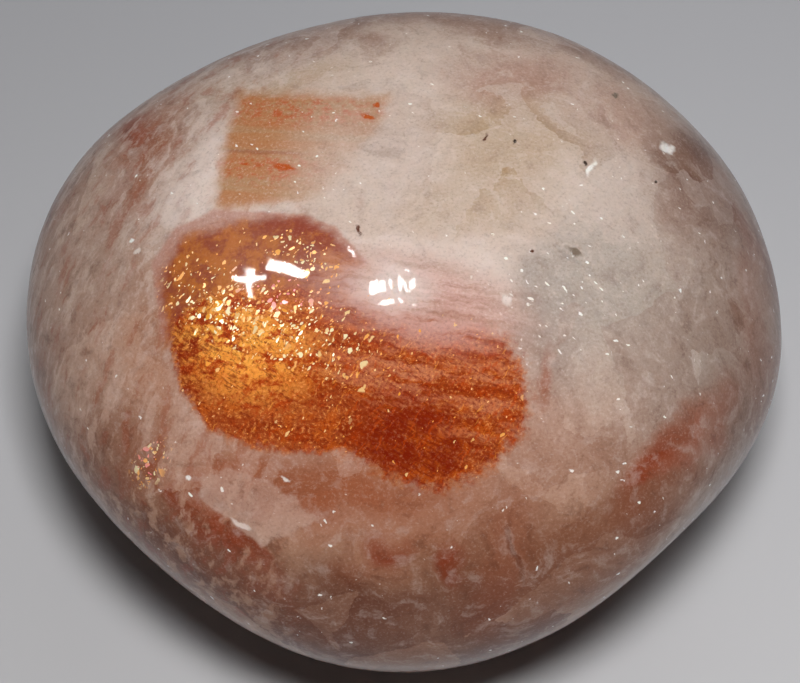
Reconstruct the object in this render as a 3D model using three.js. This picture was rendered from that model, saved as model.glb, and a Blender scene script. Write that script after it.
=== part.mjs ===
// A tumbled sunstone: one worn pebble of feldspar that rests on a small flat spot.
// Millimetres, +Z up, with the origin on the surface it rests on, under the middle of its box.
// The front, towards -Y, narrows to a blunt point, and the left and right ends are full and round.

import * as THREE from "three";
import { mergeVertices } from "three/addons/utils/BufferGeometryUtils.js";

// Height of the stone's core over the surface it rests on
const CORE_HEIGHT = 10.15;

// How tightly the worn faces meet: 2 is nearly a ball, and 20 has crisp edges
const FACE_MEETING = 7;

// Splits along each edge of the icosahedron that the skin starts from
const SKIN_SPLITS = 15;

// Vertices closer together than this are one
const MERGE_DISTANCE = 1e-4;

// The faces that tumbling has worn: the way each one looks, as a compass angle from +X towards +Y
// and a rise above level, both in degrees, and how far it lies from the core
const WORN_FACES = [
  { name: "crown", compass: 90, rise: 80, distance: 11.3 },
  { name: "crown left", compass: 190, rise: 52, distance: 13.8 },
  { name: "crown right", compass: 350, rise: 50, distance: 13.8 },
  { name: "crown front", compass: 270, rise: 40, distance: 13.4 },
  { name: "left shoulder", compass: 156, rise: 15, distance: 18.0 },
  { name: "left heel", compass: 194, rise: -5, distance: 16.3 },
  { name: "right shoulder", compass: 22, rise: 14, distance: 17.9 },
  { name: "right heel", compass: 349, rise: -5, distance: 16.4 },
  { name: "front left", compass: 228, rise: -22, distance: 12.9 },
  { name: "front right", compass: 311, rise: -22, distance: 12.7 },
  { name: "blunt point", compass: 270, rise: -18, distance: 14.6 },
  { name: "back left", compass: 119, rise: 27, distance: 15.0 },
  { name: "back right", compass: 50, rise: 26, distance: 15.9 },
  { name: "back", compass: 85, rise: 5, distance: 15.1 },
  { name: "under left", compass: 170, rise: -42, distance: 13.6 },
  { name: "under right", compass: 10, rise: -42, distance: 13.6 },
  { name: "under front", compass: 268, rise: -50, distance: 13.0 },
  { name: "under back", compass: 90, rise: -42, distance: 13.2 },
  { name: "under", compass: 270, rise: -88, distance: 10.4 },
];

// Shallow hollows left where flakes broke out before the polish, each as wide as its spread in
// degrees seen from the core
const HOLLOWS = [
  { name: "front left scoop", compass: 238, rise: 16, spread: 15, depth: 0.2 },
  { name: "right flank scoop", compass: 322, rise: 4, spread: 15, depth: 0.25 },
  { name: "left end dip", compass: 172, rise: 30, spread: 14, depth: 0.22 },
  { name: "back scoop", compass: 74, rise: -14, spread: 18, depth: 0.4 },
  { name: "back chip", compass: 128, rise: -6, spread: 9, depth: 0.3 },
  { name: "under chip", compass: 205, rise: -48, spread: 11, depth: 0.28 },
];

const DEGREE = Math.PI / 180;

// The unit vector that looks along a compass angle and a rise
function lookingAlong({ compass, rise }) {
  const flat = Math.cos(rise * DEGREE);
  return new THREE.Vector3(
    flat * Math.cos(compass * DEGREE),
    flat * Math.sin(compass * DEGREE),
    Math.sin(rise * DEGREE),
  );
}

const faces = WORN_FACES.map((face) => ({ ...face, normal: lookingAlong(face) }));
const hollows = HOLLOWS.map((hollow) => ({ ...hollow, centre: lookingAlong(hollow) }));

// Distance from the core to the skin along a unit vector, before the flat spot was worn.
// Each face's share grows quickly as the vector nears it, which rounds the edges between faces.
function roundedRadius(direction) {
  let shares = 0;
  for (const { normal, distance } of faces) {
    const facing = Math.max(0, normal.dot(direction));
    shares += (facing / distance) ** FACE_MEETING;
  }
  const rounded = shares ** (-1 / FACE_MEETING);
  let sunk = 0;
  for (const { centre, spread, depth } of hollows) {
    const away = centre.angleTo(direction) / (spread * DEGREE);
    sunk += depth * Math.exp(-away * away);
  }
  return rounded - sunk;
}

// The skin is an icosahedron's, with each vertex moved along its own direction to the worn
// stone's surface. What would reach below the resting surface is worn off flat.
function pebbleGeometry() {
  const ball = new THREE.IcosahedronGeometry(1, SKIN_SPLITS);
  ball.deleteAttribute("normal");
  ball.deleteAttribute("uv");
  const geometry = mergeVertices(ball, MERGE_DISTANCE);
  const position = geometry.getAttribute("position");
  const direction = new THREE.Vector3();
  for (let i = 0; i < position.count; i += 1) {
    direction.fromBufferAttribute(position, i).normalize();
    const point = direction.clone().multiplyScalar(roundedRadius(direction));
    const height = Math.max(0, point.z + CORE_HEIGHT);
    position.setXYZ(i, point.x, point.y, height);
  }
  geometry.computeBoundingBox();
  const middle = geometry.boundingBox.getCenter(new THREE.Vector3());
  geometry.translate(-middle.x, -middle.y, 0);
  geometry.computeVertexNormals();
  return geometry;
}

const polishedFeldspar = new THREE.MeshStandardMaterial({
  name: "polished_feldspar",
  color: new THREE.Color(0.76, 0.58, 0.47),
  roughness: 0.15,
  metalness: 0,
});

const stone = new THREE.Mesh(pebbleGeometry(), polishedFeldspar);
stone.name = "sunstone";

const sunstone = new THREE.Group();
sunstone.add(stone);

export default sunstone;
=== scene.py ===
"""A tumbled sunstone on a pale floor: milky feldspar with an orange patch of small shining plates.

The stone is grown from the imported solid: its facets are rounded, then the polish's waves, pits and
ledges are cut into the fine mesh. Its markings are solid patterns in millimetres, in a frame whose
first two axes lie as the photograph's do, so that a marking can be placed by a pixel.
"""

import math
import random

import bmesh
import bpy
import numpy as np
from mathutils import Matrix, Quaternion, Vector, noise
from mathutils.bvhtree import BVHTree


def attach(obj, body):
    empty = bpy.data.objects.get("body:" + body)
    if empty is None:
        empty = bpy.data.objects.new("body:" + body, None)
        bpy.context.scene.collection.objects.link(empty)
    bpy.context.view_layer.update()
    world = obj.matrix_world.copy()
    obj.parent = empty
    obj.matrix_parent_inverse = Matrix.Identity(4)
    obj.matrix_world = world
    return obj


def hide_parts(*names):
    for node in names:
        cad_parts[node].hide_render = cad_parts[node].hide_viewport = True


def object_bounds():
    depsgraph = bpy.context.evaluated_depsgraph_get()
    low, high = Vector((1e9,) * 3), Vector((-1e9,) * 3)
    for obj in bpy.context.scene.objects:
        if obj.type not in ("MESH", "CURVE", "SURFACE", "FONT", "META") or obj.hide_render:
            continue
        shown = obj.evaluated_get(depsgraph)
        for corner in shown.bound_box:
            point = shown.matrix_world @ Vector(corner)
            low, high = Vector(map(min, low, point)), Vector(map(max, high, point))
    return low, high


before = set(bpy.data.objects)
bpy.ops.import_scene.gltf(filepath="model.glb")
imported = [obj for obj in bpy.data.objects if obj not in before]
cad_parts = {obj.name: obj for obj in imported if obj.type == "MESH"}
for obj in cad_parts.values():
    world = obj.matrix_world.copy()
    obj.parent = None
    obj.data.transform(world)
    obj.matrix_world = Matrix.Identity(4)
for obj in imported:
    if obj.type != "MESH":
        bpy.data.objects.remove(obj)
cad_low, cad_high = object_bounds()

MM = 0.001

# The photograph's frame, in pixels
PHOTO_WIDTH = 800
PHOTO_HEIGHT = 683

# The camera: how far above level it looks from, how far off it stands, and its focal length in pixels
VIEW_RISE = math.radians(58)
VIEW_DISTANCE = 120 * MM
FOCAL_PIXELS = 2980
SENSOR_WIDTH = 36
# How many times nearer and farther than the stone the camera still sees
CLIP_SPAN = 100
# Where the photograph shows the stone's core
CORE_PIXEL = (403, 357)
# The core's height over the floor, as a share of the stone's own height
CORE_SHARE = 0.467

# The fine mesh
MERGE_DISTANCE = 1e-6
CUTS_PER_EDGE = 4
RELAXING_PASSES = 60
RELAXING_SHARE = 0.5
# How far above the floor the relief comes to its full depth, so that the resting spot stays flat
FLAT_REACH = 0.6 * MM


# Camera

def photo_axes():
    """The photograph's right, up and towards-the-camera directions, in the CAD frame."""
    right = Vector((1, 0, 0))
    back = Vector((0, -math.cos(VIEW_RISE), math.sin(VIEW_RISE)))
    return right, back.cross(right), back


RIGHT, UP, BACK = photo_axes()
MIDDLE = (cad_low + cad_high) / 2
CORE = Vector((MIDDLE.x, MIDDLE.y, cad_low.z + CORE_SHARE * (cad_high.z - cad_low.z)))


def eye_point():
    """Where the camera stands, so that the core shows at its own pixel with no lens shift."""
    metres_per_pixel = VIEW_DISTANCE / FOCAL_PIXELS
    across = (PHOTO_WIDTH / 2 - CORE_PIXEL[0]) * metres_per_pixel
    above = (CORE_PIXEL[1] - PHOTO_HEIGHT / 2) * metres_per_pixel
    return CORE + BACK * VIEW_DISTANCE + RIGHT * across + UP * above


EYE = eye_point()


def make_camera():
    data = bpy.data.cameras.new("camera")
    data.sensor_width = SENSOR_WIDTH
    data.lens = SENSOR_WIDTH * FOCAL_PIXELS / PHOTO_WIDTH
    data.clip_start = VIEW_DISTANCE / CLIP_SPAN
    data.clip_end = VIEW_DISTANCE * CLIP_SPAN
    camera = bpy.data.objects.new("camera", data)
    camera.matrix_world = Matrix.Translation(EYE) @ BACK.to_track_quat("Z", "Y").to_matrix().to_4x4()
    bpy.context.scene.collection.objects.link(camera)
    bpy.context.scene.camera = camera


make_camera()


# Places on the stone

def solid_tree():
    """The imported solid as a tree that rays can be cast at, and its merged mesh."""
    merged = bmesh.new()
    merged.from_mesh(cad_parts["sunstone"].data)
    bmesh.ops.remove_doubles(merged, verts=merged.verts, dist=MERGE_DISTANCE)
    return BVHTree.FromBMesh(merged), merged


TREE, MERGED = solid_tree()


def sight_line(pixel):
    """The way from the eye through a pixel."""
    across = (pixel[0] - PHOTO_WIDTH / 2) / FOCAL_PIXELS
    above = (PHOTO_HEIGHT / 2 - pixel[1]) / FOCAL_PIXELS
    return (RIGHT * across + UP * above - BACK).normalized()


def seen_at(pixel):
    """The point of the solid's skin at a pixel, or the nearest one where the pixel is beside it."""
    ray = sight_line(pixel)
    point = TREE.ray_cast(EYE, ray)[0]
    if point is None:
        point = TREE.find_nearest(EYE + ray * VIEW_DISTANCE)[0]
    return point


def in_photo_frame(point):
    """A point of the scene in millimetres along the photograph's axes, from the core."""
    away = (point - CORE) / MM
    return Vector((away.dot(RIGHT), away.dot(UP), away.dot(BACK)))


def pixel_size(point):
    """How many millimetres a pixel of the photograph spans at a point."""
    return (EYE - point).dot(BACK) / FOCAL_PIXELS / MM


# The fine stone

def points_of(mesh):
    flat = np.empty(len(mesh.vertices) * 3)
    mesh.vertices.foreach_get("co", flat)
    return flat.reshape(-1, 3)


def set_points(mesh, points):
    mesh.vertices.foreach_set("co", points.ravel())
    mesh.update()


def relax(mesh):
    """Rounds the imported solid's facets off, and keeps the resting spot level."""
    points = points_of(mesh)
    ends = np.empty(len(mesh.edges) * 2, int)
    mesh.edges.foreach_get("vertices", ends)
    first, second = ends.reshape(-1, 2).T
    count = np.bincount(ends, minlength=len(points))
    for _ in range(RELAXING_PASSES):
        for axis in range(3):
            place = points[:, axis]
            total = np.bincount(first, place[second], len(points))
            total += np.bincount(second, place[first], len(points))
            points[:, axis] = place + RELAXING_SHARE * (total / count - place)
        points[:, 2] = np.maximum(points[:, 2], 0)
    set_points(mesh, points)


def grow_stone():
    """The fine stone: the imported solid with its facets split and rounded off."""
    bmesh.ops.subdivide_edges(MERGED, edges=MERGED.edges, cuts=CUTS_PER_EDGE, use_grid_fill=True)
    bmesh.ops.triangulate(MERGED, faces=MERGED.faces)
    mesh = bpy.data.meshes.new("tumbled_sunstone")
    MERGED.to_mesh(mesh)
    stone = bpy.data.objects.new("tumbled_sunstone", mesh)
    bpy.context.scene.collection.objects.link(stone)
    relax(mesh)
    mesh.shade_smooth()
    return stone


stone = grow_stone()


# The relief that the polish left: pixel, radius and depth in millimetres
PITS = [
    ((617, 95), 0.22, 0.10),
    ((574, 251), 0.34, 0.12),
    ((580, 258), 0.22, 0.09),
    ((672, 146), 0.30, 0.09),
    ((655, 181), 0.10, 0.06),
    ((515, 140), 0.09, 0.06),
    ((486, 138), 0.08, 0.05),
    ((532, 249), 0.10, 0.05),
    ((586, 162), 0.10, 0.06),
    ((120, 258), 0.20, 0.05),
    ((368, 245), 0.14, 0.07),
    ((240, 520), 0.30, 0.08),
    ((285, 478), 0.22, 0.06),
    ((690, 380), 0.16, 0.07),
]
# Small ledges where cleavage plates broke off, cut as shallow grooves: pixels along each, then
# width and drop in millimetres
LEDGES = [
    (((343, 246), (356, 262), (372, 268)), 0.16, 0.05),
    (((380, 299), (396, 296), (408, 301), (424, 299)), 0.10, 0.03),
    (((392, 311), (404, 308), (416, 313), (440, 309)), 0.10, 0.03),
    (((383, 268), (385, 294)), 0.08, 0.03),
    (((397, 266), (400, 296)), 0.08, 0.04),
    (((407, 268), (409, 284)), 0.08, 0.025),
    (((213, 212), (236, 215), (262, 219)), 0.12, 0.03),
    (((196, 500), (212, 508), (232, 524), (246, 540)), 0.22, 0.06),
    (((563, 247), (590, 262), (600, 275)), 0.20, 0.05),
]
SCATTERED_PITS = 90
SCATTERED_RADIUS = (0.10, 0.24)
SCATTERED_DEPTH = (0.02, 0.06)
SCATTER_SEED = 7
# How far from a pit's middle its bowl has lost most of its depth, as a share of its radius
BOWL_SHARE = 0.6
# The polish's waves: how many to a millimetre, and how deep in millimetres
WAVES = [(0.16, 0.16), (0.42, 0.035), (1.3, 0.006)]


def deepening(points, spot, radius):
    """How deep a bowl at a spot reaches at each point: 1 in its middle, nearly 0 past its rim."""
    away = np.linalg.norm(points - np.array(spot), axis=1) / (radius * MM)
    return np.exp(-(away / BOWL_SHARE) ** 2)


def distance_to_line(points, start, end):
    """How far each point lies from a straight piece of line, in millimetres."""
    along = end - start
    share = np.clip((points - start) @ along / (along @ along), 0, 1)
    return np.linalg.norm(points - start - share[:, None] * along, axis=1) / MM


def carve(mesh):
    """Sinks the polish's waves, pits and ledges into the skin, along its own normals."""
    points = points_of(mesh)
    normals = np.empty(len(points) * 3)
    mesh.vertex_normals.foreach_get("vector", normals)
    normals = normals.reshape(-1, 3)
    sunk = np.zeros(len(points))
    for per_mm, depth in WAVES:
        wave = [noise.noise(Vector(point) * (per_mm / MM)) for point in points]
        # The noise runs from -1 to 1, and the wave sinks by 0 to its depth
        sunk += depth * (0.5 + 0.5 * np.array(wave))
    for pixel, radius, depth in PITS:
        sunk += depth * deepening(points, seen_at(pixel), radius)
    chance = random.Random(SCATTER_SEED)
    for _ in range(SCATTERED_PITS):
        spot = points[chance.randrange(len(points))]
        radius = chance.uniform(*SCATTERED_RADIUS)
        sunk += chance.uniform(*SCATTERED_DEPTH) * deepening(points, spot, radius)
    for pixels, width, drop in LEDGES:
        corners = [np.array(seen_at(pixel)) for pixel in pixels]
        away = np.full(len(points), np.inf)
        for start, end in zip(corners, corners[1:]):
            away = np.minimum(away, distance_to_line(points, start, end))
        sunk += drop * np.exp(-(away / width) ** 2)
    on_floor = points[:, 2] < FLAT_REACH
    sunk[on_floor] *= points[on_floor, 2] / FLAT_REACH
    points -= normals * sunk[:, None] * MM
    points[:, 2] = np.maximum(points[:, 2], 0)
    set_points(mesh, points)


carve(stone.data)


# Shader maths

# The middle of a noise, and of a cell's random numbers
HALF = 0.5
# A Mix node's sockets for the factor and its two colours, and its output for a colour
MIX_FACTOR, MIX_FIRST, MIX_SECOND, MIX_RESULT = 0, 6, 7, 2


class Value:
    """A shader socket that can be used in sums: each sum adds a Math node."""

    def __init__(self, bench, socket):
        self.bench = bench
        self.socket = socket
        # The node that splits this vector, and the vector to it from the eye, once they are made
        self.split = None
        self.from_eye = None

    def sum_with(self, operation, *terms):
        return self.bench.node("ShaderNodeMath", {"operation": operation}, dict(enumerate(terms)))

    def __add__(self, other):
        return self.sum_with("ADD", self, other)

    def __sub__(self, other):
        return self.sum_with("SUBTRACT", self, other)

    def __rsub__(self, other):
        return self.sum_with("SUBTRACT", other, self)

    def __mul__(self, other):
        return self.sum_with("MULTIPLY", self, other)

    __radd__ = __add__
    __rmul__ = __mul__

    def larger(self, other):
        return self.sum_with("MAXIMUM", self, other)

    def smaller(self, other):
        return self.sum_with("MINIMUM", self, other)

    def fade(self, start, end, low=0.0, high=1.0):
        """Goes smoothly from low where this value is start to high where it is end."""
        limits = {"Value": self, "From Min": start, "From Max": end, "To Min": low, "To Max": high}
        if start > end:
            limits.update({"From Min": end, "From Max": start, "To Min": high, "To Max": low})
        settings = {"interpolation_type": "SMOOTHSTEP"}
        return self.bench.node("ShaderNodeMapRange", settings, limits, "Result")


class Bench:
    """Where one material's nodes are put together."""

    def __init__(self, name):
        self.material = bpy.data.materials.new(name)
        self.material.use_nodes = True
        self.tree = self.material.node_tree
        self.tree.nodes.clear()

    def node(self, kind, settings, inputs, output=0):
        """Adds a node: its settings first, then its inputs' values and links."""
        node = self.tree.nodes.new(kind)
        for name, value in settings.items():
            setattr(node, name, value)
        for name, value in inputs.items():
            if isinstance(value, Value):
                self.tree.links.new(value.socket, node.inputs[name])
            else:
                node.inputs[name].default_value = value
        return Value(self, node.outputs[output])

    def vector(self, operation, *terms, output=0):
        return self.node("ShaderNodeVectorMath", {"operation": operation}, dict(enumerate(terms)), output)

    def part(self, vector, axis):
        """One part of a vector, which is split only once."""
        if vector.split is None:
            vector.split = self.node("ShaderNodeSeparateXYZ", {}, {0: vector}).socket.node
        return Value(self, vector.split.outputs[axis])

    def mix(self, factor, first, second, blend="MIX"):
        """Blends two colours, from the first at factor 0 to the second at 1."""
        settings = {"data_type": "RGBA", "blend_type": blend}
        inputs = {MIX_FACTOR: factor, MIX_FIRST: first, MIX_SECOND: second}
        return self.node("ShaderNodeMix", settings, inputs, MIX_RESULT)

    def noise(self, position, scale, detail=2.0, roughness=0.5, output=0):
        inputs = {"Vector": position, "Scale": scale, "Detail": detail, "Roughness": roughness}
        return self.node("ShaderNodeTexNoise", {}, inputs, output)

    def drawn_noise(self, position, turn, stretch, scale, detail, roughness):
        """Noise that is drawn out one way, such as strands and needles."""
        return self.noise(self.turned(position, turn, stretch), scale, detail, roughness)

    def cells(self, position, scale):
        """Random cells: how far the nearest cell's middle is, and that cell's random colour."""
        near = self.node("ShaderNodeTexVoronoi", {}, {"Vector": position, "Scale": scale}, "Distance")
        return near, Value(self, near.socket.node.outputs["Color"])

    def turned(self, position, turn, stretch):
        """The position for a pattern that is turned clockwise in the photograph, by degrees.

        A stretch under 1 draws the pattern out along that axis, and one over 1 squeezes it.
        """
        place = {"Vector": position, "Rotation": (0, 0, math.radians(turn))}
        flat = self.node("ShaderNodeMapping", {"vector_type": "POINT"}, place)
        return self.node("ShaderNodeMapping", {"vector_type": "POINT"}, {"Vector": flat, "Scale": stretch})

    def push(self, position, scale, detail):
        """A random vector that changes with the place, up to a half to either side."""
        push = self.noise(position, scale, detail, output="Color")
        return self.vector("SUBTRACT", push, (HALF, HALF, HALF))

    def pushed(self, position, push, amount):
        """The position pushed about, which makes a plain shape's edge ragged."""
        return self.vector("MULTIPLY_ADD", push, (amount, amount, amount), position)

    def finish(self, shader):
        output = self.tree.nodes.new("ShaderNodeOutputMaterial")
        self.tree.links.new(shader.socket, output.inputs["Surface"])


# The sRGB curve: a straight line up to a share of the full tone, and a power above it
SRGB_LINE_END = 0.04045
SRGB_LINE_SLOPE = 12.92
SRGB_OFFSET = 0.055
SRGB_POWER = 2.4


def tone(red, green, blue):
    """A colour by its three sRGB parts of 255, as the shader wants it."""
    parts = []
    for part in (red, green, blue):
        share = part / 255
        if share <= SRGB_LINE_END:
            parts.append(share / SRGB_LINE_SLOPE)
        else:
            parts.append(((share + SRGB_OFFSET) / (1 + SRGB_OFFSET)) ** SRGB_POWER)
    return (*parts, 1)


# The stone's colours, as it has them in white light
MILK = tone(208, 186, 172)
WHITE = tone(226, 208, 198)
SMOKE = tone(167, 153, 144)
PALE_SMOKE = tone(190, 177, 166)
HONEY_MILK = tone(177, 146, 110)
TAN = tone(184, 122, 74)
PEACH = tone(164, 98, 66)
ROSE = tone(168, 118, 98)
MAUVE = tone(188, 140, 124)
PALE_MAUVE = tone(198, 166, 150)
ROSE_BROWN = tone(130, 84, 62)
RUSTY_ROSE = tone(160, 82, 52)
BROWN = tone(92, 50, 32)
DULL_BROWN = tone(128, 112, 98)
RUST = tone(146, 62, 28)
ORANGE = tone(202, 94, 22)
FLAME = tone(255, 168, 70)
DEEP_ORANGE = tone(184, 68, 12)
BLOOD_RED = tone(124, 26, 4)
COPPER = tone(142, 48, 12)
AMBER = tone(184, 102, 26)
CORAL = tone(164, 78, 34)
PALE_CORAL = tone(206, 136, 102)
# The pink-white of the sheen painted round the right highlight
PAINTED_SHEEN_PINK = tone(206, 164, 154)
GOLD = tone(255, 170, 50)
BRIGHT_GOLD = tone(255, 186, 82)
PALE_GOLD = tone(255, 240, 190)
RUST_SPOT = tone(188, 84, 22)
# Pink for plates round the bar highlight, a painted glint
GLINT_PINK = tone(255, 150, 150)
SHADE = tone(58, 40, 32)
# White for the painted glints and the painted highlight haze
GLINT_WHITE = tone(250, 246, 240)
# Painted shade on the flanks and foot: a warm tint, and a duller one towards the right, which multiplies the
# colour under it
WARM_SHADE_TINT = (0.76, 0.54, 0.41, 1)
DULL_SHADE_TINT = (0.76, 0.74, 0.72, 1)

# How deep a blot goes: so many times its wider radius, and so many millimetres more
BLOT_DEPTH_SHARE = 3
BLOT_EXTRA_DEPTH = 1.0
# Pieces with straight edges show only nearer the camera than this, in millimetres from the core
PIECE_BACK = -1.0


def blot(bench, position, pixel, radii, turn, softness, strength=1.0):
    """A soft ellipse on the skin, placed by the photograph: its strength inside, 0 outside.

    Its radii are in pixels, and its turn is in degrees, anticlockwise in the photograph.
    """
    point = seen_at(pixel)
    size = pixel_size(point) * (1 + softness)
    across, along = radii[0] * size, radii[1] * size
    deep = BLOT_DEPTH_SHARE * max(across, along) + BLOT_EXTRA_DEPTH
    ball = bench.node("ShaderNodeTexGradient", {"gradient_type": "SPHERICAL"}, {"Vector": position}, "Fac")
    shape = ball.socket.node.texture_mapping
    shape.vector_type = "TEXTURE"
    shape.translation = in_photo_frame(point)
    shape.rotation = (0, 0, math.radians(turn))
    shape.scale = (across, along, deep)
    return ball.fade(0, 1 - (1 - softness) / (1 + softness), 0, strength)


def piece(bench, position, pixels, softness, strength=1.0):
    """A piece with straight edges between pixels given clockwise: its strength inside, 0 outside.

    Each edge is the plane through the eye and two pixels; softness is in millimetres.
    """
    eye = in_photo_frame(EYE)
    if position.from_eye is None:
        position.from_eye = bench.vector("SUBTRACT", position, eye)
    rays = [in_photo_frame(seen_at(pixel)) - eye for pixel in pixels]
    inside = bench.part(position.from_eye, 2) - (PIECE_BACK - eye.z)
    for ray, following in zip(rays, rays[1:] + rays[:1]):
        inward = ray.cross(following).normalized()
        inside = inside.smaller(bench.vector("DOT_PRODUCT", position.from_eye, inward, output="Value"))
    return inside.fade(-softness, softness, 0, strength)


def joined(bench, shape, position, rows):
    """Several blots or pieces as one: the strongest of them at each place."""
    whole = shape(bench, position, *rows[0])
    for row in rows[1:]:
        whole = whole.larger(shape(bench, position, *row))
    return whole


# Clouds, veils and stains of the milky body, and a browner top rim that is partly painted shade: pixel,
# radii, turn, softness, colour, strength
BODY_BLOTS = [
    ((400, 120), (200, 95), -4, 0.7, MILK, 0.6),
    ((440, 150), (120, 70), 0, 0.6, WHITE, 0.3),
    ((585, 185), (60, 85), -10, 0.7, WHITE, 0.3),
    ((500, 285), (42, 70), 25, 0.6, WHITE, 0.5),
    ((590, 285), (85, 48), -15, 0.35, SMOKE, 0.74),
    ((655, 350), (80, 90), 20, 0.6, SMOKE, 0.42),
    ((560, 470), (70, 70), 0, 0.7, MILK, 0.4),
    ((550, 335), (40, 60), 10, 0.7, SMOKE, 0.95),
    ((198, 178), (18, 62), -32, 0.8, WHITE, 0.75),
    ((238, 205), (50, 18), 8, 0.6, WHITE, 0.6),
    ((170, 215), (28, 26), 0, 0.6, WHITE, 0.5),
    ((142, 152), (34, 64), -25, 0.7, PEACH, 0.75),
    ((146, 335), (26, 76), 0, 0.7, TAN, 0.4),
    ((445, 212), (48, 28), 0, 0.7, HONEY_MILK, 0.55),
    ((280, 78), (70, 18), 12, 0.7, HONEY_MILK, 0.5),
    ((515, 78), (60, 30), -8, 0.7, ROSE, 0.6),
    ((505, 150), (66, 54), -10, 0.8, HONEY_MILK, 1.0),
    ((630, 115), (45, 35), -40, 0.7, ROSE, 0.4),
    ((700, 148), (22, 14), -50, 0.7, BROWN, 0.7),
    ((682, 178), (12, 46), 30, 0.8, BROWN, 0.6),
    ((735, 225), (12, 60), 16, 0.8, RUST, 0.45),
    ((702, 205), (36, 62), 20, 0.8, ROSE_BROWN, 0.8),
    ((634, 285), (80, 104), 14, 0.8, PALE_SMOKE, 0.65),
    ((674, 460), (84, 22), 48, 0.7, RUSTY_ROSE, 0.95),
    ((672, 458), (20, 8), 48, 0.8, RUST, 0.7),
    ((648, 488), (14, 10), 40, 0.8, RUST, 0.5),
    ((222, 488), (30, 34), -30, 0.6, PALE_SMOKE, 0.4),
    ((625, 535), (60, 12), 24, 0.7, BROWN, 0.7),
    ((58, 222), (11, 32), -8, 0.7, RUSTY_ROSE, 1.0),
    ((136, 128), (18, 14), 30, 0.7, RUSTY_ROSE, 0.9),
    ((103, 205), (14, 34), -12, 0.8, RUSTY_ROSE, 0.6),
    ((112, 300), (30, 56), -6, 0.8, MILK, 0.95),
    ((90, 255), (24, 50), -8, 0.8, ROSE_BROWN, 0.12),
    ((212, 524), (74, 20), -44, 0.6, RUSTY_ROSE, 0.9),
    ((222, 518), (54, 6), -44, 0.6, RUST, 0.8),
    ((165, 545), (85, 12), -42, 0.7, BROWN, 0.6),
    ((150, 462), (34, 34), 0, 0.8, PEACH, 0.5),
    ((232, 488), (46, 36), -30, 0.45, ROSE, 0.8),
    ((247, 521), (20, 7), -30, 0.6, WHITE, 0.7),
    ((350, 524), (64, 7), -3, 0.8, WHITE, 0.5),
    ((372, 570), (36, 16), 8, 0.6, ROSE, 0.5),
    ((330, 492), (130, 40), -8, 0.7, PEACH, 0.95),
    ((430, 620), (150, 44), 5, 0.8, BROWN, 0.55),
    ((330, 580), (60, 30), -20, 0.8, BROWN, 0.45),
    ((560, 585), (66, 34), 30, 0.8, ROSE_BROWN, 0.7),
    ((400, 545), (19, 14), -20, 0.7, RUST, 0.75),
    ((458, 568), (13, 22), 0, 0.7, RUST, 0.75),
    ((512, 560), (20, 64), -12, 0.7, ROSE, 0.6),
    ((517, 566), (3, 38), -4, 0.5, BROWN, 0.6),
    ((392, 243), (52, 2.5), -8, 0.5, WHITE, 0.8),
    ((452, 268), (30, 2), -24, 0.5, WHITE, 0.5),
    ((544, 382), (7, 28), 0, 0.8, RUST, 0.6),
    ((395, 520), (90, 18), 6, 0.8, MILK, 0.3),
    # The top rim, browner: partly the rim's own colour, partly painted shade where the far side turns away
    # from the light
    ((300, 30), (160, 22), 12, 0.8, ROSE_BROWN, 0.75),
    ((560, 40), (120, 16), -18, 0.8, ROSE_BROWN, 0.6),
    ((430, 16), (120, 16), 0, 0.8, ROSE_BROWN, 0.2),
    ((765, 320), (22, 110), 0, 0.8, ROSE, 0.6),
    ((68, 268), (44, 100), 0, 0.8, MILK, 1.0),
    ((112, 440), (34, 46), -30, 0.8, ROSE_BROWN, 0.5),
]

# Small marks, the white ones painted glints: pixel, radii, turn, colour
BODY_SPECKS = [
    ((617, 95), (4, 2.5), -20, DULL_BROWN),
    ((574, 251), (8, 3), -35, DULL_BROWN),
    ((515, 140), (2, 2), 0, SHADE),
    ((485, 137), (1.5, 3), -30, BROWN),
    ((532, 249), (3, 1.5), 0, BROWN),
    ((655, 181), (2.2, 2.2), 0, SHADE),
    ((586, 163), (2.2, 2.2), 0, SHADE),
    ((359, 229), (2, 5), 0, BROWN),
    # White glints painted on pits and cracks
    ((668, 148), (9, 5), -35, GLINT_WHITE),
    ((592, 168), (3, 9), -30, GLINT_WHITE),
    ((133, 240), (2.5, 2.5), 0, GLINT_WHITE),
    ((188, 478), (2.5, 2.5), 0, GLINT_WHITE),
    ((138, 252), (4, 2), 20, WHITE),
    ((286, 478), (4, 2), -50, GLINT_WHITE),
    ((507, 300), (4, 7), 20, GLINT_WHITE),
    ((240, 525), (9, 2.5), -25, WHITE),
    ((376, 106), (4, 3), 0, RUST_SPOT),
    ((366, 116), (8, 3), -14, RUST_SPOT),
    ((244, 163), (5, 2), 0, RUST_SPOT),
    ((284, 167), (9, 3), -6, RUST_SPOT),
]
SPECK_SOFTNESS = 0.4

# Pieces of crystal with straight edges: corners in pixels, softness, colour, strength
MILKY_PLATE = ((200, 478), (225, 468), (270, 480), (318, 520), (262, 547), (240, 530), (203, 503))
BROWN_CORNER = ((522, 528), (600, 498), (690, 424), (712, 470), (640, 570), (500, 640), (514, 590))
WHITE_FEATHER = ((238, 110), (216, 205), (204, 216), (186, 226), (166, 234), (160, 214), (190, 174))
WHITE_WEDGE = ((348, 232), (430, 238), (500, 262), (525, 320), (430, 290), (360, 262))
BODY_PIECES = [
    (MILKY_PLATE, 0.08, PALE_MAUVE, 0.6),
    (BROWN_CORNER, 0.22, ROSE_BROWN, 0.65),
    (WHITE_FEATHER, 0.14, WHITE, 0.46),
    (WHITE_WEDGE, 0.16, WHITE, 0.3),
]

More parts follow.
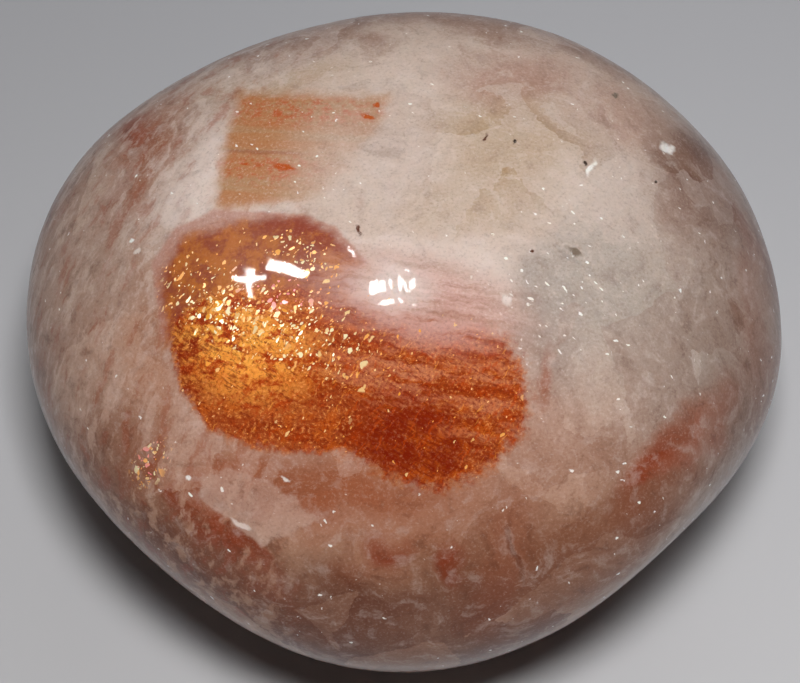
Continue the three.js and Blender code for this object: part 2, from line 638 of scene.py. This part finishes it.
# The orange patch, in two parts that meet: corners in pixels, softness
PATCH_PIECES = [
    (((172, 322), (190, 302), (217, 288), (300, 285), (400, 322), (400, 444), (345, 452), (290, 453),
      (240, 445), (205, 427), (182, 394), (169, 350)), 0.36),
    (((330, 322), (400, 316), (470, 318), (508, 334), (522, 365), (529, 400), (526, 432), (486, 474),
      (442, 493), (400, 484), (334, 450)), 0.7),
]
# The browner part over it, first its mauve skin, then the brown under that: corners, softness, strength
MAUVE_PIECE = (((152, 262), (175, 228), (215, 210), (262, 212), (302, 215), (345, 230), (368, 264),
                (425, 330), (162, 340)), 0.10, 0.85)
BROWN_PIECE = (((160, 275), (184, 236), (228, 224), (268, 217), (302, 217), (344, 232), (372, 266),
                (415, 300), (425, 345), (165, 345)), 0.28, 0.92)
# Tan bands over that, where thin layers of the crystal hold rust: corners, softness
BAND_PIECE = (((238, 93), (300, 93), (388, 97), (380, 124), (342, 172), (326, 192), (298, 201),
               (215, 211), (222, 155)), 0.34)

# Single blots: pixel, radii, turn, softness, strength
# A pink-white sheen painted round the right highlight, over the stone's rose and peach
PAINTED_SHEEN_VEIL = ((418, 298), (96, 38), -13, 0.6, 0.9)
# A white haze painted round the right highlight
PAINTED_HIGHLIGHT_HAZE = ((393, 285), (34, 20), -8, 0.9, 0.45)
PEACH_HALO = ((345, 392), (226, 128), -14, 0.5, 0.45)
BAND_RUST = [((310, 111), (90, 14), -2, 0.7), ((268, 168), (60, 14), -3, 0.7)]
BAND_LINE = ((262, 152), (44, 2), -3, 0.6, 0.5)
BAND_RIGHT = ((350, 170), (50, 60), 0, 0.9)
GLOW = ((238, 344), (74, 50), -16, 0.6, 0.9)
GLEAM = ((232, 334), (54, 24), -18, 0.7, 0.75)
DARK_STREAK = ((412, 442), (56, 44), -24, 0.8)
LEFT_EDGE = ((184, 345), (24, 58), 0, 0.8, 0.75)
CORAL_VEILS = [((408, 372), (80, 32), -8, 0.8, 0.5), ((490, 392), (42, 64), 0, 0.8, 0.42)]
BROWN_PEAK = ((308, 234), (44, 20), -12, 0.6)
SPARK_CROWD = ((545, 300), (80, 66), 30, 0.6, 0.3)
PLATE_CROWDS = [((262, 318), (92, 34), -22, 0.8), ((300, 256), (40, 18), -20, 0.7, 0.6)]
# Plates round the bar highlight tinted pink: a painted glint
PINK_GLINT_PLATES = ((275, 288), (46, 24), -20, 0.5)
# A small crowd of plates on its own, left below the patch
SATELLITE = ((150, 464), (16, 26), -34, 0.5)

# Even noise: how many to a millimetre, detail, roughness
CLOUDS = (0.16, 2, 0.5)
MOTTLE = (1.3, 4, 0.68)
BLOTCHES = (1.3, 4, 0.66)
SPOTS = (3.2, 3, 0.7)
GRAIN = (9.0, 2, 0.7)
# Noise drawn out one way: turn in degrees, stretch, how many to a millimetre, detail, roughness
STRANDS = (62, (0.35, 1.5, 1.0), 0.5, 4, 0.62)
WISPS = (-70, (0.35, 1.5, 1.0), 1.2, 3, 0.6)
SILK = (8, (0.25, 2.6, 1.0), 1.4, 3, 0.65)
STREAKS = (8, (0.3, 1.9, 1.0), 1.2, 4, 0.65)
NEEDLES = (31, (0.5, 3.0, 1.6), 2.8, 3, 0.6)
HAIRS = (-55, (0.35, 3.0, 1.6), 3.0, 1, 0.6)
BAND_LAYERS = (3, (0.10, 1.9, 0.3), 1.0, 2, 0.6)
# Cells: turn in degrees and stretch, and how many to a millimetre
BLOCK_TURN = (25, (1.0, 0.6, 1.0))
BLOCKS_PER_MM = 0.34
SPARK_TURN = (40, (1.0, 1.7, 1.0))
SPARKS_PER_MM = 3.0
PLATE_TURN = (-58, (1.0, 1.6, 1.0))
# How places are pushed about to make edges ragged: how many pushes to a millimetre and their detail
SLOW_PUSH = (0.35, 1)
QUICK_PUSH = (1.9, 3)
# How far the pushes reach, in millimetres
STRAIGHT_EDGES = 0.14
FINE_EDGES = 0.5
ROUGH_EDGES = 2.4

# Fades: where each starts and ends, then its values there, which are 0 and 1 if left out.
# By height or by place they start and end in millimetres, else at values of a noise, cell or blot.
# Fades of the body
# The body turns browner from the crown to the flanks, and browner still at the foot on the camera's side:
# partly the stone's own rim colour, partly painted shade
CROWN_TO_FLANK = (9.0, 0.5)
FLANK_TO_FOOT = (3.0, -5.0, 0, 0.9)
FRONT = (-4.0, 0.0, 0.4, 1.0)
CLOUD_WHITE = (0.45, 0.70, 0, 0.3)
STRAND_WHITE = (0.52, 0.74, 0, 0.35)
STRAND_BROWN = (0.48, 0.30, 0, 0.5)
BLOCK_WHITE = (0.45, 0.9, 0, 0.35)
BLOCK_BROWN = (0.5, 1.0)
BLOCK_BROWN_BY_HEIGHT = (11.0, 5.0, 0.1, 0.35)
LEFT_SIDE = (-2.5, -6.5)
WISP_WHITE = (0.50, 0.64, 0, 0.5)
WISP_RUST = (0.47, 0.34, 0, 0.45)
DULL_SIDE = (6.0, 12.0)
# Where the painted shade on the flanks and foot sets in by height, and how much of it is left at the far left
SHADE_BY_HEIGHT = (9.5, 3.5)
SHADE_AT_LEFT = (-14.5, -9.5, 0.45, 1.0)
MOTTLE_WHITE = (0.50, 0.70)
MOTTLE_WHITE_BY_HEIGHT = (4.0, 11.0, 0.2, 0.42)
MOTTLE_BROWN = (0.48, 0.28)
MOTTLE_BROWN_BY_HEIGHT = (10.0, 4.0, 0.2, 0.5)
GRAIN_WHITE = (0.50, 0.80)
GRAIN_WHITE_BY_HEIGHT = (4.0, 11.0, 0.15, 0.42)
GRAIN_BROWN = (0.50, 0.20, 0, 0.28)
SPARK_SIZE = (0.0, 1.0, 0.10, 0.30)
SPARK_PICKED = (0.80, 0.82)
SPARK_CLUSTERS = (0.50, 0.56)
SPARK_EDGE = (0.0, 0.08)
BAND_HONEY = (0.40, 0.66, 0, 0.6)
BAND_SPOTS = (0.42, 0.66)
# Fades of the patch
PATCH_EDGE = (0.18, 0.88)
SILK_SHEEN = (0.30, 0.64)
CORAL_STREAKS = (0.34, 0.60)
CORAL_IN_THE_DARK = (0.0, 1.0, 1.0, 0.1)
FLAMES = (0.86, 1.08)
GLEAMS = (0.92, 1.10)
BLOTCH_ORANGE = (0.50, 0.66, 0, 0.5)
BLOTCH_DEEP = (0.50, 0.34, 0, 0.6)
BLOTCH_RED = (0.56, 0.38, 0, 0.95)
VEIL_STREAKS = (0.46, 0.60)
NEEDLE_RED = (0.54, 0.72, 0, 0.75)
LIGHT_IN_THE_DARK = (0.0, 0.8, 1.0, 0.25)
HAIR_FLAME = (0.66, 0.76, 0, 0.4)
HAIR_DEEP = (0.42, 0.30, 0, 0.6)
GRAIN_FLAME = (0.53, 0.72, 0, 0.4)
GRAIN_RED = (0.48, 0.30, 0, 0.6)
UPPER_AMBER = (0.38, 0.60)
PEAK_COPPER = (0.68, 0.46)
SHEEN_STREAKS = (0.30, 0.56)
# Fades of the plates
PLATE_PICKED = (0.995, 1.0)
PLATE_REACH = (0.44, 0.36)
PLATE_PALE = (0.0, 0.45)
# More of the plates are pale where they crowd by the highlights: a painted glint
PLATE_GLINT_BY_CROWD = (0.05, 0.55, 0.45, 1.0)
PLATE_FLAME = (0.6, 0.7, 0, 0.8)
PLATE_PINK_GLINT = (0.4, 0.3)

# How much a millimetre towards the camera and a millimetre up in the photograph count as height
HEIGHT_SHARES = (0.7, 0.55)
# How far in millimetres the clouds shift the crown's edge, between their lowest and highest
CLOUD_SHIFT = 6
# How strong the tan bands are, and how much of that is lost towards their right end
BAND_STRENGTH = 0.95
BAND_LOSS = 0.7
# How much the spots eat into the patch's edge
PATCH_RAGGEDNESS = 1.1
# How much denser the needles are in the dark places and in the glow
NEEDLES_IN_THE_DARK = 0.12
NEEDLES_IN_THE_GLOW = 0.03
# How strong the grain's light points are in the orange
ORANGE_GRAIN = 0.07
# Layers of plates: how many to a millimetre, the share that shines in the crowd, and elsewhere
PLATE_LAYERS = [(2.2, 0.27, -0.01), (3.8, 0.36, 0.006), (7.5, 0.40, 0.018)]
# How far the plates tip to either side of the skin
PLATE_TILT = 0.55


def height_on_crown(bench, position):
    """How high a place lies on the crown as the photograph shows it, in millimetres."""
    nearer, higher = HEIGHT_SHARES
    return bench.part(position, 2) * nearer + bench.part(position, 1) * higher


def milky_body(bench, position, rough_place, fine_place, height):
    """Milk on the crown, browner towards the flanks partly in its own colour and partly as painted shade,
    with clouds, strands, veils and stains, and a tint of painted shade over the flanks and foot.
    """
    clouds = bench.noise(rough_place, *CLOUDS)
    strands = bench.drawn_noise(rough_place, *STRANDS)
    clouded = height + (clouds - HALF) * CLOUD_SHIFT
    front = bench.part(position, 2).fade(*FRONT)
    # Browner flanks and foot: partly the stone's own colour, partly painted shade
    body = bench.mix(clouded.fade(*CROWN_TO_FLANK), MILK, ROSE_BROWN)
    body = bench.mix(clouded.fade(*FLANK_TO_FOOT) * front, body, BROWN)
    body = bench.mix(clouds.fade(*CLOUD_WHITE), body, WHITE)
    body = bench.mix(strands.fade(*STRAND_WHITE), body, WHITE)
    body = bench.mix(strands.fade(*STRAND_BROWN), body, ROSE_BROWN)
    for pixel, radii, turn, softness, colour, strength in BODY_BLOTS:
        body = bench.mix(blot(bench, rough_place, pixel, radii, turn, softness, strength), body, colour)
    block = bench.cells(bench.turned(rough_place, *BLOCK_TURN), BLOCKS_PER_MM)[1]
    body = bench.mix(bench.part(block, 0).fade(*BLOCK_WHITE), body, WHITE)
    brown_block = bench.part(block, 1).fade(*BLOCK_BROWN) * height.fade(*BLOCK_BROWN_BY_HEIGHT)
    body = bench.mix(brown_block, body, ROSE_BROWN)
    rightwards = bench.part(position, 0)
    left = rightwards.fade(*LEFT_SIDE)
    wisps = bench.drawn_noise(fine_place, *WISPS)
    body = bench.mix(wisps.fade(*WISP_WHITE) * left, body, WHITE)
    body = bench.mix(wisps.fade(*WISP_RUST) * left, body, RUSTY_ROSE)
    # Painted shade: the flanks and foot on the camera's side darkened by a warm tint, duller towards the
    # right
    shade_tint = bench.mix(rightwards.fade(*DULL_SIDE), WARM_SHADE_TINT, DULL_SHADE_TINT)
    painted_shade = height.fade(*SHADE_BY_HEIGHT) * front * rightwards.fade(*SHADE_AT_LEFT)
    return bench.mix(painted_shade, body, shade_tint, "MULTIPLY")


def crystal_pieces(bench, fine_place, body):
    for pixels, softness, colour, strength in BODY_PIECES:
        body = bench.mix(piece(bench, fine_place, pixels, softness, strength), body, colour)
    return body


def mottled(bench, mottle, height, body):
    """The body with lighter mottles on the crown and browner ones on the flanks."""
    body = bench.mix(mottle.fade(*MOTTLE_WHITE) * height.fade(*MOTTLE_WHITE_BY_HEIGHT), body, WHITE)
    return bench.mix(mottle.fade(*MOTTLE_BROWN) * height.fade(*MOTTLE_BROWN_BY_HEIGHT), body, BROWN)


def crack_glints(bench, place, clusters, body):
    """Cleavage cracks, painted white where they would catch the light: small white points in clusters, all
    over the milk.
    """
    near, lot = bench.cells(bench.turned(place, *SPARK_TURN), SPARKS_PER_MM)
    size = bench.part(lot, 1).fade(*SPARK_SIZE)
    crowd = blot(bench, place, *SPARK_CROWD)
    picked = (bench.part(lot, 0) + crowd).fade(*SPARK_PICKED) * (clusters + crowd).fade(*SPARK_CLUSTERS)
    return bench.mix((size - near).fade(*SPARK_EDGE) * picked, body, GLINT_WHITE)


def specks(bench, place, body):
    for pixel, radii, turn, colour in BODY_SPECKS:
        body = bench.mix(blot(bench, place, pixel, radii, turn, SPECK_SOFTNESS), body, colour)
    return body


def rusty_bands(bench, straight, ragged, spots, body):
    """Straight thin layers, nearly level in the photograph, with rust in them."""
    band = piece(bench, ragged, *BAND_PIECE)
    layers = bench.drawn_noise(straight, *BAND_LAYERS)
    layered = bench.mix(layers.fade(*BAND_HONEY), TAN, HONEY_MILK)
    rust = joined(bench, blot, straight, BAND_RUST)
    layered = bench.mix(rust * spots.fade(*BAND_SPOTS), layered, RUST_SPOT)
    layered = bench.mix(blot(bench, straight, *BAND_LINE), layered, RUST)
    right = blot(bench, straight, *BAND_RIGHT)
    return bench.mix(band * (BAND_STRENGTH - right * BAND_LOSS), body, layered)


def patch_cover(bench, fine_place, spots):
    """Where the orange patch lies, and where either it or its browner part does."""
    patch = joined(bench, piece, fine_place, PATCH_PIECES)
    patch = (patch + (spots - HALF) * PATCH_RAGGEDNESS).fade(*PATCH_EDGE)
    return patch, patch.larger(piece(bench, fine_place, *BROWN_PIECE))


def round_the_patch(bench, fine_place, straight, painted_sheen, highlight_haze, body):
    """The milk round the patch: peach near it, mauve over its upper edge, silky streaks of the stone's rose
    with a pink-white sheen painted over them there, and a white haze painted round the right highlight.
    """
    colour = bench.mix(blot(bench, fine_place, *PEACH_HALO), body, PEACH)
    colour = bench.mix(piece(bench, straight, *MAUVE_PIECE), colour, MAUVE)
    silk = bench.drawn_noise(fine_place, *SILK)
    # Painted sheen: pink-white over the stone's rose, in silky streaks
    colour = bench.mix(painted_sheen, colour, bench.mix(silk.fade(*SILK_SHEEN), ROSE, PAINTED_SHEEN_PINK))
    # The painted highlight haze, in white
    return bench.mix(highlight_haze, colour, GLINT_WHITE)


def orange_patch(bench, fine_place, straight, grain, patch, painted_sheen, highlight_haze):
    """The patch: copper to deep orange, with red-brown needles, under a browner upper part, with a pink-white
    sheen and a white highlight haze painted over it.
    """
    blotches = bench.noise(fine_place, *BLOTCHES)
    streaks = bench.drawn_noise(fine_place, *STREAKS)
    needles = bench.drawn_noise(straight, *NEEDLES)
    hairs = bench.drawn_noise(fine_place, *HAIRS)
    fire = streaks + blotches
    glow = blot(bench, fine_place, *GLOW)
    gleam = blot(bench, fine_place, *GLEAM)
    dark = blot(bench, fine_place, *DARK_STREAK)
    veil = joined(bench, blot, fine_place, CORAL_VEILS)
    orange = bench.mix(streaks.fade(*CORAL_STREAKS) * dark.fade(*CORAL_IN_THE_DARK), COPPER, CORAL)
    orange = bench.mix(glow, orange, bench.mix(fire.fade(*FLAMES), DEEP_ORANGE, FLAME))
    orange = bench.mix(gleam * fire.fade(*GLEAMS), orange, BRIGHT_GOLD)
    orange = bench.mix(blotches.fade(*BLOTCH_ORANGE), orange, ORANGE)
    orange = bench.mix(blotches.fade(*BLOTCH_DEEP), orange, DEEP_ORANGE)
    orange = bench.mix(veil * streaks.fade(*VEIL_STREAKS), orange, PALE_CORAL)
    depth = dark.larger(blot(bench, fine_place, *LEFT_EDGE))
    orange = bench.mix(blotches.fade(*BLOTCH_RED) * depth, orange, BLOOD_RED)
    needles = needles + depth * NEEDLES_IN_THE_DARK + glow * NEEDLES_IN_THE_GLOW
    orange = bench.mix(needles.fade(*NEEDLE_RED), orange, BLOOD_RED)
    light = dark.fade(*LIGHT_IN_THE_DARK)
    orange = bench.mix(hairs.fade(*HAIR_FLAME) * light, orange, FLAME)
    orange = bench.mix(hairs.fade(*HAIR_DEEP), orange, DEEP_ORANGE)
    orange = bench.mix(grain.fade(*GRAIN_FLAME) * light, orange, FLAME)
    orange = bench.mix(grain.fade(*GRAIN_RED), orange, BLOOD_RED)
    upper = bench.mix(blotches.fade(*UPPER_AMBER), RUST, AMBER)
    upper = bench.mix(blot(bench, fine_place, *BROWN_PEAK) * blotches.fade(*PEAK_COPPER), upper, COPPER)
    colour = bench.mix(patch, upper, orange)
    # Painted sheen over the patch: pink-white over peach, in streaks
    painted_sheen_colour = bench.mix(streaks.fade(*SHEEN_STREAKS), PEACH, PAINTED_SHEEN_PINK)
    # The painted sheen, then the painted highlight haze in white
    return bench.mix(highlight_haze, bench.mix(painted_sheen, colour, painted_sheen_colour), GLINT_WHITE)


def shining_plates(bench, fine_place, satellite):
    """Where small plates show, each plate's own random numbers, and where they crowd."""
    crowd = joined(bench, blot, fine_place, PLATE_CROWDS).larger(satellite)
    place = bench.turned(fine_place, *PLATE_TURN)
    shine = None
    lots = None
    for per_mm, crowded, lone in PLATE_LAYERS:
        near, lot = bench.cells(place, per_mm)
        room = crowd * (crowded - lone) + lone
        picked = (bench.part(lot, 0) + room).fade(*PLATE_PICKED) * near.fade(*PLATE_REACH)
        lots = lot if lots is None else bench.mix(picked, lots, lot)
        shine = picked if shine is None else shine.larger(picked)
    return shine, lots, crowd


def plate_finish(bench, fine_place, lot, crowd, satellite):
    """Gold to pale gold plates, some of them flame or pink, each tipped its own way; the pink round the bar
    highlight and the extra paleness where they crowd by the highlights are painted glints.
    """
    pale_glint = bench.part(lot, 1).fade(*PLATE_PALE) * crowd.fade(*PLATE_GLINT_BY_CROWD)
    colour = bench.mix(pale_glint, GOLD, PALE_GOLD)
    colour = bench.mix(bench.part(lot, 2).fade(*PLATE_FLAME), colour, FLAME)
    pink_glint = blot(bench, fine_place, *PINK_GLINT_PLATES).larger(satellite)
    colour = bench.mix(bench.part(lot, 2).fade(*PLATE_PINK_GLINT) * pink_glint, colour, GLINT_PINK)
    outward = bench.node("ShaderNodeNewGeometry", {}, {}, "Normal")
    tilt = bench.vector("SUBTRACT", lot, (HALF, HALF, HALF))
    tilt = bench.vector("MULTIPLY", tilt, (PLATE_TILT, PLATE_TILT, PLATE_TILT))
    return bench.node("ShaderNodeBsdfPrincipled", {}, {
        "Base Color": colour,
        "Metallic": 0.2,
        "Roughness": 0.3,
        "Normal": bench.vector("NORMALIZE", bench.vector("ADD", outward, tilt)),
        "Coat Weight": 0.5,
        "Coat Roughness": 0.04,
        "Coat IOR": 1.5,
    })


def polished(bench, colour):
    """Milky feldspar under its polish."""
    return bench.node("ShaderNodeBsdfPrincipled", {}, {
        "Base Color": colour,
        "Roughness": 0.4,
        "IOR": 1.53,
        "Specular IOR Level": 0.1,
        "Coat Weight": 0.5,
        "Coat Roughness": 0.04,
        "Coat IOR": 1.4,
        "Subsurface Weight": 0.3,
        "Subsurface Radius": (1.0, 0.6, 0.4),
        "Subsurface Scale": 1.2 * MM,
    })


def grained(bench, grain, light, colour):
    """The colour with the finest grain of the crystal over it, its light points that strong."""
    colour = bench.mix(grain.fade(*GRAIN_WHITE) * light, colour, WHITE)
    return bench.mix(grain.fade(*GRAIN_BROWN), colour, BROWN)


def sunstone_material():
    bench = Bench("polished_feldspar")
    objects = bench.node("ShaderNodeTexCoord", {}, {}, "Object")
    position = bench.node("ShaderNodeMapping", {"vector_type": "POINT"}, {
        "Vector": objects,
        "Scale": (1 / MM, 1 / MM, 1 / MM),
        "Rotation": (VIEW_RISE - math.pi / 2, 0, 0),
        "Location": in_photo_frame(Vector((0, 0, 0))),
    })
    quick_push = bench.push(position, *QUICK_PUSH)
    straight = bench.pushed(position, quick_push, STRAIGHT_EDGES)
    fine_place = bench.pushed(position, quick_push, FINE_EDGES)
    rough_place = bench.pushed(fine_place, bench.push(position, *SLOW_PUSH), ROUGH_EDGES)
    mottle = bench.noise(rough_place, *MOTTLE)
    grain = bench.noise(position, *GRAIN)
    spots = bench.noise(straight, *SPOTS)
    patch, cover = patch_cover(bench, fine_place, spots)
    painted_sheen = blot(bench, fine_place, *PAINTED_SHEEN_VEIL)
    highlight_haze = blot(bench, fine_place, *PAINTED_HIGHLIGHT_HAZE)

    height = height_on_crown(bench, position)
    body = milky_body(bench, position, rough_place, fine_place, height)
    body = crystal_pieces(bench, fine_place, body)
    body = mottled(bench, mottle, height, body)
    body = rusty_bands(bench, straight, fine_place, spots, body)
    # Painted glints on the cleavage cracks
    body = crack_glints(bench, fine_place, mottle, body)
    body = specks(bench, fine_place, body)
    body = round_the_patch(bench, fine_place, straight, painted_sheen, highlight_haze, body)
    body = grained(bench, grain, height.fade(*GRAIN_WHITE_BY_HEIGHT), body)

    orange = orange_patch(bench, fine_place, straight, grain, patch, painted_sheen, highlight_haze)
    orange = grained(bench, grain, ORANGE_GRAIN, orange)

    satellite = blot(bench, fine_place, *SATELLITE)
    shine, lot, crowd = shining_plates(bench, fine_place, satellite)
    plates = plate_finish(bench, fine_place, lot, crowd, satellite)
    glittering = bench.node("ShaderNodeMixShader", {}, {0: shine, 1: polished(bench, orange), 2: plates})
    covered = cover.larger(shine * satellite)
    bench.finish(bench.node("ShaderNodeMixShader", {}, {0: covered, 1: polished(bench, body), 2: glittering}))
    return bench.material


stone.data.materials.append(sunstone_material())


# Floor and light, in metres and watts

FLOOR_REACH = 1.2
# The paper near the stone, its painted shade far behind, and the painted shade that multiplies it towards the
# left
PAPER_NEAR = (0.645, 0.64, 0.65, 1)
PAPER_FAR_SHADED = (0.50, 0.50, 0.525, 1)
LEFT_SHADE_TINT = (0.86, 0.86, 0.86, 1)
# Where painted shade starts to darken the paper behind the stone and towards the left, and where it has
# darkened
BEHIND = (-0.03, 0.04)
TO_THE_LEFT = (0.022, -0.022)

# The lamp over the stone and the one behind it: the way to it from the core, distance, size, power
KEY_RISE = math.radians(69.5)
KEY_WAY = Vector((0.03, -math.cos(KEY_RISE), math.sin(KEY_RISE)))
BACK_RISE = math.radians(35)
BACK_WAY = Vector((0.2, math.cos(BACK_RISE), math.sin(BACK_RISE)))
SOFT_LAMPS = [
    ("key_lamp", KEY_WAY, 0.14, (0.022, 0.022), 0.172),
    ("back_lamp", BACK_WAY, 0.3, (0.16, 0.16), 0.10),
]
# The lamps that only the polish shows: pixel of the highlight, size, power, spin in degrees
MIRRORED_LAMPS = [
    ("bar_lamp", (288, 270), (0.046, 0.013), 0.16, -66),
    ("cross_lamp_wide", (250, 279), (0.034, 0.005), 0.05, -54),
    ("cross_lamp_tall", (250, 284), (0.005, 0.036), 0.05, -54),
    ("right_lamp", (384, 284), (0.034, 0.030), 0.24, 0),
]
MIRRORED_DISTANCE = 0.3
# The skin's slant at a highlight is evened out over its pixel and the ones this far beside it
EVEN_OVER = 12
BESIDE = [(0, 0), (-EVEN_OVER, 0), (EVEN_OVER, 0), (0, -EVEN_OVER), (0, EVEN_OVER)]
ROOM_LIGHT = 0.038


def floor_material():
    """Pale paper, with painted shade that makes it a little darker far behind the stone and towards the left.
    """
    bench = Bench("pale_floor")
    place = bench.node("ShaderNodeTexCoord", {}, {}, "Object")
    paper = bench.mix(bench.part(place, 1).fade(*BEHIND), PAPER_NEAR, PAPER_FAR_SHADED)
    bench.finish(bench.node("ShaderNodeBsdfPrincipled", {}, {
        "Base Color": bench.mix(bench.part(place, 0).fade(*TO_THE_LEFT), paper, LEFT_SHADE_TINT, "MULTIPLY"),
        "Roughness": 0.9,
        "Specular IOR Level": 0.2,
    }))
    return bench.material


def make_floor():
    mesh = bpy.data.meshes.new("floor")
    corners = [
        (-FLOOR_REACH, -FLOOR_REACH, 0),
        (FLOOR_REACH, -FLOOR_REACH, 0),
        (FLOOR_REACH, FLOOR_REACH, 0),
        (-FLOOR_REACH, FLOOR_REACH, 0),
    ]
    mesh.from_pydata(corners, [], [(0, 1, 2, 3)])
    floor = bpy.data.objects.new("floor", mesh)
    bpy.context.scene.collection.objects.link(floor)
    mesh.materials.append(floor_material())


def finished_skin():
    """The carved stone as a tree that rays can be cast at, and its mesh."""
    fine = bmesh.new()
    fine.from_mesh(stone.data)
    fine.faces.ensure_lookup_table()
    return BVHTree.FromBMesh(fine), fine


SKIN_TREE, SKIN = finished_skin()


def add_lamp(name, place, target, size, power):
    """A rectangle of light at a place, turned to the target."""
    data = bpy.data.lights.new(name, "AREA")
    data.shape = "RECTANGLE"
    data.size, data.size_y = size
    data.energy = power
    lamp = bpy.data.objects.new(name, data)
    lamp.location = place
    lamp.rotation_mode = "QUATERNION"
    lamp.rotation_quaternion = (place - target).to_track_quat("Z", "Y")
    bpy.context.scene.collection.objects.link(lamp)
    return lamp


def skin_slant(pixel):
    """The way the carved skin faces round a pixel."""
    slant = Vector()
    for across, down in BESIDE:
        face = SKIN_TREE.ray_cast(EYE, sight_line((pixel[0] + across, pixel[1] + down)))[2]
        slant += sum((corner.normal for corner in SKIN.faces[face].verts), Vector())
    return slant.normalized()


def lamp_shown_at(name, pixel, size, power, spin):
    """A lamp placed so that the polish mirrors it to the camera at that pixel."""
    point = SKIN_TREE.ray_cast(EYE, sight_line(pixel))[0]
    slant = skin_slant(pixel)
    to_eye = (EYE - point).normalized()
    to_lamp = 2 * slant.dot(to_eye) * slant - to_eye
    lamp = add_lamp(name, point + to_lamp * MIRRORED_DISTANCE, point, size, power)
    lamp.rotation_quaternion @= Quaternion((0, 0, 1), math.radians(spin))
    lamp.visible_diffuse = False


def light_scene():
    for name, way, distance, size, power in SOFT_LAMPS:
        add_lamp(name, CORE + way * distance, CORE, size, power).visible_glossy = False
    for name, pixel, size, power, spin in MIRRORED_LAMPS:
        lamp_shown_at(name, pixel, size, power, spin)
    world = bpy.data.worlds.new("soft_room")
    world.use_nodes = True
    world.node_tree.nodes["Background"].inputs["Color"].default_value = (1, 1, 1, 1)
    world.node_tree.nodes["Background"].inputs["Strength"].default_value = ROOM_LIGHT
    bpy.context.scene.world = world
    bpy.context.scene.view_settings.view_transform = "Standard"


make_floor()
light_scene()

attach(stone, "root")
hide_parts("sunstone")
